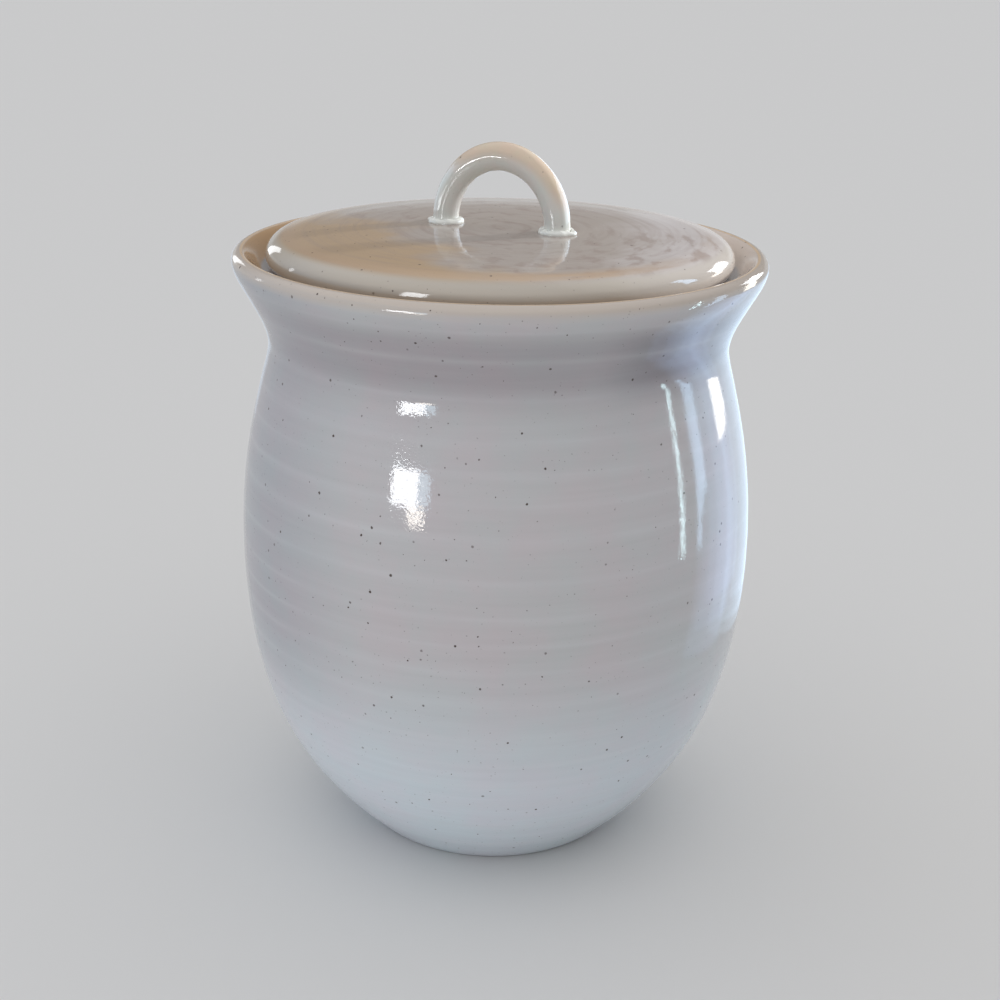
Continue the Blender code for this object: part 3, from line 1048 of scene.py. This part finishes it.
# %% [markdown]
# ## Floor and light
#
# A glossy glaze shows less of its own colour than of the room round it: the eye reads the
# windows that it mirrors. A picture of a real room could light the jar, but its windows
# couldn't be moved one by one. So there are a pale floor, a plain room that is paler on the
# left and overhead, and soft windows, each placed by its bearing from the camera and its
# height, where it shows in the glaze as in the photograph.
#
# Light linking keeps the windows off the floor, which stays even, and off the pieces that
# they weren't placed for. Pale and blue panels close to the jar show in its gloss alone, as
# the bright rims of its sides. The low sun works the other way: only the clay shows it, and
# it throws the handle's shadow over the lid without a mirror image of its own.

# %% Lay the floor
FLOOR_COLOUR = tint(222, 221, 219)
FLOOR_RADIUS = 40.0
FLOOR_SIDES = 128
FLOOR_ROUGHNESS = 0.9
FLOOR_SHINE = 0.1


def lay_floor():
    """A wide pale disc under the jar."""
    bpy.ops.mesh.primitive_circle_add(
        vertices=FLOOR_SIDES, radius=FLOOR_RADIUS, fill_type="NGON"
    )
    floor = bpy.context.active_object
    floor.name = "floor"
    material = bpy.data.materials.new("floor")
    material.use_nodes = True
    shader = material.node_tree.nodes["Principled BSDF"]
    shader.inputs["Base Color"].default_value = FLOOR_COLOUR
    shader.inputs["Roughness"].default_value = FLOOR_ROUGHNESS
    shader.inputs["Specular IOR Level"].default_value = FLOOR_SHINE
    floor.data.materials.append(material)
    return floor


print("floor:", lay_floor().name)

# %% Light the room
ROOM_FRONT = tint(186, 188, 192)
ROOM_LEFT = tint(174, 194, 218)
ROOM_RIGHT = tint(118, 118, 124)
ROOM_BACK = tint(146, 142, 138)
CEILING = tint(252, 252, 253)
HORIZON = tint(195, 196, 196)
ROOM_STRENGTH = 1.08
SIDE_FADE = (-0.9, 0.9)
FRONT_FADE = (0.0, 0.9)
BACK_FADE = (-0.4, -0.9)
HORIZON_FADE = (0.16, 0.05)
CEILING_FADE = (0.35, 0.85)


def light_room():
    """A room pale on the left, dim on the right, even at the horizon and bright overhead."""
    world = bpy.data.worlds.new("room")
    bpy.context.scene.world = world
    world.use_nodes = True
    tree = world.node_tree
    way = add(tree, "ShaderNodeTexCoord").outputs["Generated"]
    shares = []
    for direction in (TOWARDS_CAMERA, CAMERA_RIGHT, UP):
        dot = add(tree, "ShaderNodeVectorMath", operation="DOT_PRODUCT")
        feed(tree, dot.inputs[0], way)
        dot.inputs[1].default_value = direction
        shares.append(dot.outputs["Value"])
    facing, side, height = shares
    walls = blend_colours(tree, fade(tree, side, *SIDE_FADE), ROOM_LEFT, ROOM_RIGHT)
    walls = blend_colours(tree, fade(tree, facing, *FRONT_FADE), walls, ROOM_FRONT)
    walls = blend_colours(tree, fade(tree, facing, *BACK_FADE), walls, ROOM_BACK)
    walls = blend_colours(tree, fade(tree, height, *HORIZON_FADE), walls, HORIZON)
    colour = blend_colours(tree, fade(tree, height, *CEILING_FADE), walls, CEILING)
    feed(tree, tree.nodes["Background"].inputs["Color"], colour)
    tree.nodes["Background"].inputs["Strength"].default_value = ROOM_STRENGTH


light_room()
print("room lit by", bpy.context.scene.world.name)

# %% Say how a window is hung, and which pieces it lights
EYE_HEIGHT = 0.16


def lit_group(name, pieces):
    """A collection that says which pieces a lamp lights."""
    group = bpy.data.collections.new(name)
    for piece in pieces:
        group.objects.link(piece)
    return group


def hang_window(name, bearing, spread, low, high, away, radiance, colour, lit):
    """A soft window: its bearing from the camera's side and its angles above EYE_HEIGHT."""
    turn = math.radians(bearing)
    way = TOWARDS_CAMERA * math.cos(turn) + CAMERA_RIGHT * math.sin(turn)
    bottom = EYE_HEIGHT + away * math.tan(math.radians(low))
    top = EYE_HEIGHT + away * math.tan(math.radians(high))
    light = bpy.data.lights.new(name, "AREA")
    light.shape = "RECTANGLE"
    light.size = 2 * away * math.tan(math.radians(spread / 2))
    light.size_y = top - bottom
    light.energy = radiance * math.pi * light.size * light.size_y
    light.color = colour[:3]
    lamp = bpy.data.objects.new(name, light)
    bpy.context.scene.collection.objects.link(lamp)
    lamp.location = way * away + UP * (bottom + top) / 2
    lamp.rotation_mode = "QUATERNION"
    lamp.rotation_quaternion = (-way).to_track_quat("-Z", "Y")
    lamp.visible_camera = False
    lamp.light_linking.receiver_collection = lit
    return lamp


POTTERY = lit_group("pottery", (jar, lid, handle, *beads))
POT_AND_LID = lit_group("pot_and_lid", (jar, lid))
POT_ONLY = lit_group("pot_only", (jar,))
HANDLE_ONLY = lit_group("handle_only", (handle, *beads))
LID_ONLY = lit_group("lid_only", (lid,))
LIFTED = lit_group("lid_and_handle", (lid, handle, *beads))

# %% Hang the windows
DAYLIGHT = tint(248, 252, 255)
SKY = tint(214, 232, 252)
SUNNY = tint(255, 248, 236)
HAZE = tint(190, 224, 255)
BLUE = tint(178, 209, 255)
WINDOW_EDGE = tint(205, 238, 255)
SLIT = tint(210, 244, 250)

# name, bearing, spread, lowest and highest angle in degrees, distance in metres, radiance, colour
WINDOWS = (
    ("front_window", -39, 12, -1.5, 6.0, 1.5, 16.0, DAYLIGHT),
    ("front_window_side", -30.5, 5, -1, 5.8, 1.5, 6.0, WINDOW_EDGE),
    ("front_sill", -33.5, 7, -4, -1.5, 1.5, 14.0, SUNNY),
    ("left_slit", -114, 3, 5, 16, 1.0, 3.0, DAYLIGHT),
    ("left_window", -147, 8, 2, 20, 1.0, 2.4, DAYLIGHT),
    ("right_slit", 81.5, 1.2, -17, 9, 0.5, 17.0, SLIT),
    ("right_window", 94.5, 7, -9, 10, 0.5, 4.0, HAZE),
    ("right_window_foot", 93.0, 4, -11.5, -9, 0.5, 4.0, HAZE),
    ("right_window_toe", 92.2, 2.4, -17, -11.5, 0.5, 4.0, HAZE),
    ("right_sash", 122, 12, -6, 10, 0.8, 5.0, SUNNY),
    ("right_transom", 131, 18, 8, 24, 0.8, 6.0, DAYLIGHT),
)
for window in WINDOWS:
    hang_window(*window, POT_AND_LID)
print("windows:", len(WINDOWS))

# %% Hang the glints and panels that only the gloss shows
# the same columns, then the pieces that mirror the panel
PANELS = (
    ("lid_window", -40, 12, 6, 30, 1.5, 12.0, DAYLIGHT, LID_ONLY),
    ("lid_edge_glint", 100, 9, 14, 34, 0.8, 6.0, HAZE, LID_ONLY),
    ("handle_glint", -55.5, 11, 0.8, 3.4, 1.5, 50.0, DAYLIGHT, HANDLE_ONLY),
    ("handle_leg_glint", -78, 24, -5, 1, 1.5, 7.0, DAYLIGHT, HANDLE_ONLY),
    ("handle_left", -112, 60, -8, 24, 1.0, 1.4, SKY, HANDLE_ONLY),
    ("handle_sky", 102, 50, 0, 36, 1.0, 4.0, SKY, HANDLE_ONLY),
    ("handle_sky_back", 142, 46, -4, 30, 1.0, 2.6, HAZE, HANDLE_ONLY),
    ("handle_back", 164, 34, -8, 2, 0.5, 1.5, HAZE, HANDLE_ONLY),
    ("left_back_wall", -162, 28, -14, 2, 0.6, 0.25, HAZE, POTTERY),
    ("right_wall", 122, 56, -37, 6, 0.20, 0.4, HAZE, POT_ONLY),
    ("right_wall_middle", 127, 46, -35, 6, 0.22, 0.35, HAZE, POT_ONLY),
    ("right_wall_end", 132, 36, -32, 6, 0.24, 0.3, HAZE, POT_ONLY),
    ("right_back_wall", 160, 22, -37, 0, 0.20, 0.2, HAZE, POT_ONLY),
    ("right_sky", 91, 26, -37, 6, 0.200, 0.48, BLUE, POT_ONLY),
    ("right_sky_middle", 95, 26, -33, 6, 0.205, 0.48, BLUE, POT_ONLY),
    ("right_sky_end", 100, 26, -29, 6, 0.210, 0.48, BLUE, POT_ONLY),
)
for panel in PANELS:
    hang_window(*panel).visible_diffuse = False
print("panels:", len(PANELS))

# %% Let in the low sun that only the clay shows
sun = hang_window("low_sun", 114, 3, 13, 17, 1.5, 850.0, DAYLIGHT, LIFTED)
sun.visible_glossy = False

# %% [markdown]
# ## Finish
#
# The scene's colours are shown with the Standard view transform. The dressed jar
# must stay inside the solids' box.

# %% Set the view transform
bpy.context.scene.view_settings.view_transform = "Standard"
